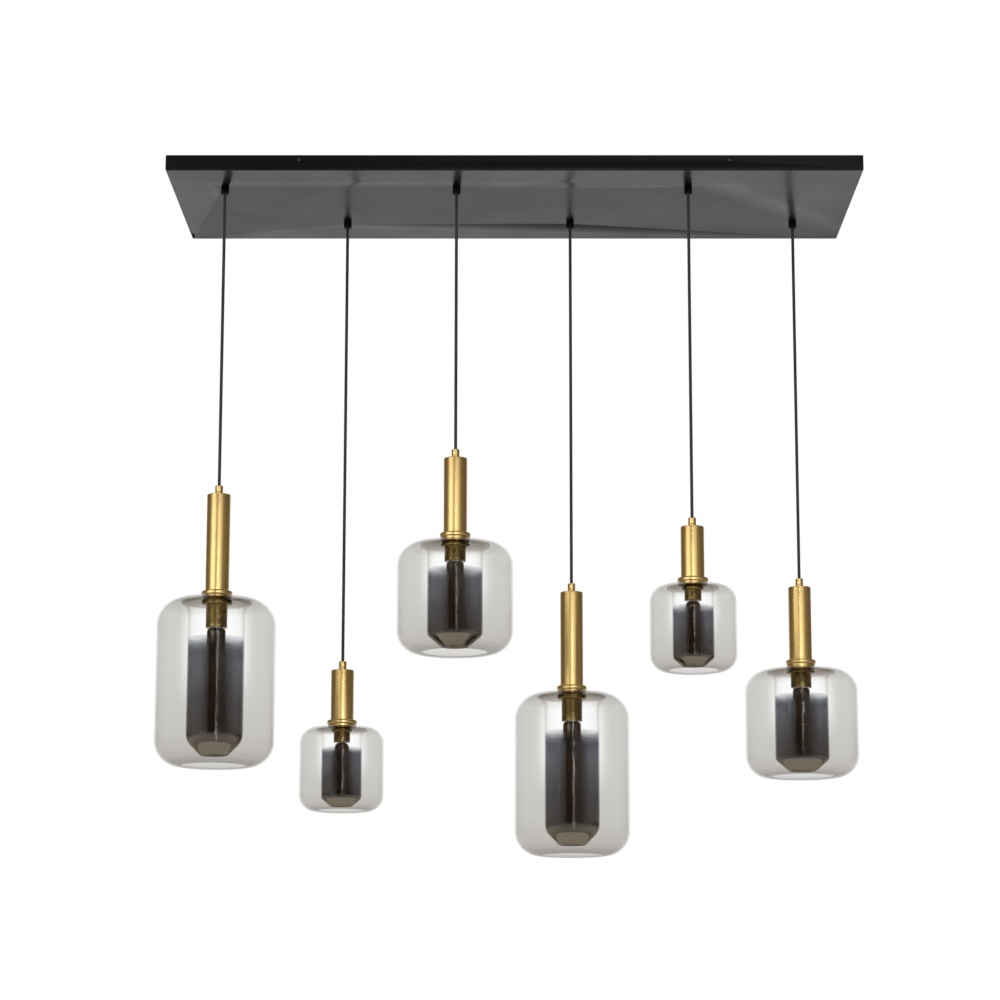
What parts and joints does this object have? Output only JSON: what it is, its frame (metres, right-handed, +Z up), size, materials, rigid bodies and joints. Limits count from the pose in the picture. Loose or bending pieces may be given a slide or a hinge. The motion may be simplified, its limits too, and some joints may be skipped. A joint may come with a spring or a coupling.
{
  "type": "cluster pendant light",
  "caption": "Cluster pendant: cylindrical double-glass shades in several sizes hang at staggered heights from brass tubes and fabric cords under a flat rectangular ceiling pan.",
  "frame": {"origin": "middle of the ceiling plane, at the centre of the four bracket fixing holes", "axes": "+Z up into the ceiling, +X along the pan to the viewer's right, -Y towards the viewer"},
  "size_m": [1.215, 0.4048, 1.179],
  "materials": {
    "pan_paint": "satin",
    "bracket_steel": "satin",
    "screw_black": "satin",
    "grip_nylon": "satin",
    "terminal_plastic": "matte",
    "cord_fabric": "matte",
    "brushed_brass": "satin",
    "aged_brass": "satin",
    "shade_glass": "gloss",
    "liner_glass": "gloss",
    "bulb_amber": "gloss"
  },
  "bodies": {
    "ceiling_pan": {"canopy_pan": "pan_paint", "ceiling_brackets": "bracket_steel", "side_screws": "screw_black", "cord_grips": "grip_nylon", "grip_nuts": "grip_nylon", "terminal_block": "terminal_plastic"},
    "drop_cord_1": {"cord_1": "cord_fabric"},
    "pendant_1": {"cord_gland_1": "brushed_brass", "tube_1": "brushed_brass", "collar_1": "brushed_brass", "outer_glass_1": "shade_glass", "inner_glass_1": "liner_glass", "shade_ring_1": "aged_brass", "lampholder_1": "aged_brass"},
    "lamp_1": {"bulb_1": "bulb_amber"},
    "drop_cord_2": {"cord_2": "cord_fabric"},
    "pendant_2": {"cord_gland_2": "brushed_brass", "tube_2": "brushed_brass", "collar_2": "brushed_brass", "outer_glass_2": "shade_glass", "inner_glass_2": "liner_glass", "shade_ring_2": "aged_brass", "lampholder_2": "aged_brass"},
    "lamp_2": {"bulb_2": "bulb_amber"},
    "drop_cord_3": {"cord_3": "cord_fabric"},
    "pendant_3": {"cord_gland_3": "brushed_brass", "tube_3": "brushed_brass", "collar_3": "brushed_brass", "outer_glass_3": "shade_glass", "inner_glass_3": "liner_glass", "shade_ring_3": "aged_brass", "lampholder_3": "aged_brass"},
    "lamp_3": {"bulb_3": "bulb_amber"},
    "drop_cord_4": {"cord_4": "cord_fabric"},
    "pendant_4": {"cord_gland_4": "brushed_brass", "tube_4": "brushed_brass", "collar_4": "brushed_brass", "outer_glass_4": "shade_glass", "inner_glass_4": "liner_glass", "shade_ring_4": "aged_brass", "lampholder_4": "aged_brass"},
    "lamp_4": {"bulb_4": "bulb_amber"},
    "drop_cord_5": {"cord_5": "cord_fabric"},
    "pendant_5": {"cord_gland_5": "brushed_brass", "tube_5": "brushed_brass", "collar_5": "brushed_brass", "outer_glass_5": "shade_glass", "inner_glass_5": "liner_glass", "shade_ring_5": "aged_brass", "lampholder_5": "aged_brass"},
    "lamp_5": {"bulb_5": "bulb_amber"},
    "drop_cord_6": {"cord_6": "cord_fabric"},
    "pendant_6": {"cord_gland_6": "brushed_brass", "tube_6": "brushed_brass", "collar_6": "brushed_brass", "outer_glass_6": "shade_glass", "inner_glass_6": "liner_glass", "shade_ring_6": "aged_brass", "lampholder_6": "aged_brass"},
    "lamp_6": {"bulb_6": "bulb_amber"}
  },
  "joints": [
    {"name": "swing_1", "type": "hinge", "parent": "ceiling_pan", "child": "drop_cord_1", "pos_m": [-0.5075, -0.1, -0.0345], "axis": [0, 1, 0], "range_deg": [-5, 5]},
    {"name": "height_1", "type": "slide", "parent": "drop_cord_1", "child": "pendant_1", "axis": [0, 0, 1], "range_m": [0, 0.25], "deforming": ["cord_1"]},
    {"name": "bulb_1_out", "type": "slide", "parent": "pendant_1", "child": "lamp_1", "axis": [0, 0, -1], "range_m": [0, 0.27]},
    {"name": "swing_2", "type": "hinge", "parent": "ceiling_pan", "child": "drop_cord_2", "pos_m": [-0.3045, 0.1, -0.0345], "axis": [0, 1, 0], "range_deg": [-5, 5]},
    {"name": "height_2", "type": "slide", "parent": "drop_cord_2", "child": "pendant_2", "axis": [0, 0, 1], "range_m": [0, 0.25], "deforming": ["cord_2"]},
    {"name": "bulb_2_out", "type": "slide", "parent": "pendant_2", "child": "lamp_2", "axis": [0, 0, -1], "range_m": [0, 0.15]},
    {"name": "swing_3", "type": "hinge", "parent": "ceiling_pan", "child": "drop_cord_3", "pos_m": [-0.1015, -0.1, -0.0345], "axis": [0, 1, 0], "range_deg": [-5, 5]},
    {"name": "height_3", "type": "slide", "parent": "drop_cord_3", "child": "pendant_3", "axis": [0, 0, 1], "range_m": [0, 0.25], "deforming": ["cord_3"]},
    {"name": "bulb_3_out", "type": "slide", "parent": "pendant_3", "child": "lamp_3", "axis": [0, 0, -1], "range_m": [0, 0.19]},
    {"name": "swing_4", "type": "hinge", "parent": "ceiling_pan", "child": "drop_cord_4", "pos_m": [0.1015, 0.1, -0.0345], "axis": [0, 1, 0], "range_deg": [-5, 5]},
    {"name": "height_4", "type": "slide", "parent": "drop_cord_4", "child": "pendant_4", "axis": [0, 0, 1], "range_m": [0, 0.25], "deforming": ["cord_4"]},
    {"name": "bulb_4_out", "type": "slide", "parent": "pendant_4", "child": "lamp_4", "axis": [0, 0, -1], "range_m": [0, 0.27]},
    {"name": "swing_5", "type": "hinge", "parent": "ceiling_pan", "child": "drop_cord_5", "pos_m": [0.3045, -0.1, -0.0345], "axis": [0, 1, 0], "range_deg": [-5, 5]},
    {"name": "height_5", "type": "slide", "parent": "drop_cord_5", "child": "pendant_5", "axis": [0, 0, 1], "range_m": [0, 0.25], "deforming": ["cord_5"]},
    {"name": "bulb_5_out", "type": "slide", "parent": "pendant_5", "child": "lamp_5", "axis": [0, 0, -1], "range_m": [0, 0.15]},
    {"name": "swing_6", "type": "hinge", "parent": "ceiling_pan", "child": "drop_cord_6", "pos_m": [0.5075, 0.1, -0.0345], "axis": [0, 1, 0], "range_deg": [-5, 5]},
    {"name": "height_6", "type": "slide", "parent": "drop_cord_6", "child": "pendant_6", "axis": [0, 0, 1], "range_m": [0, 0.25], "deforming": ["cord_6"]},
    {"name": "bulb_6_out", "type": "slide", "parent": "pendant_6", "child": "lamp_6", "axis": [0, 0, -1], "range_m": [0, 0.19]}
  ]
}
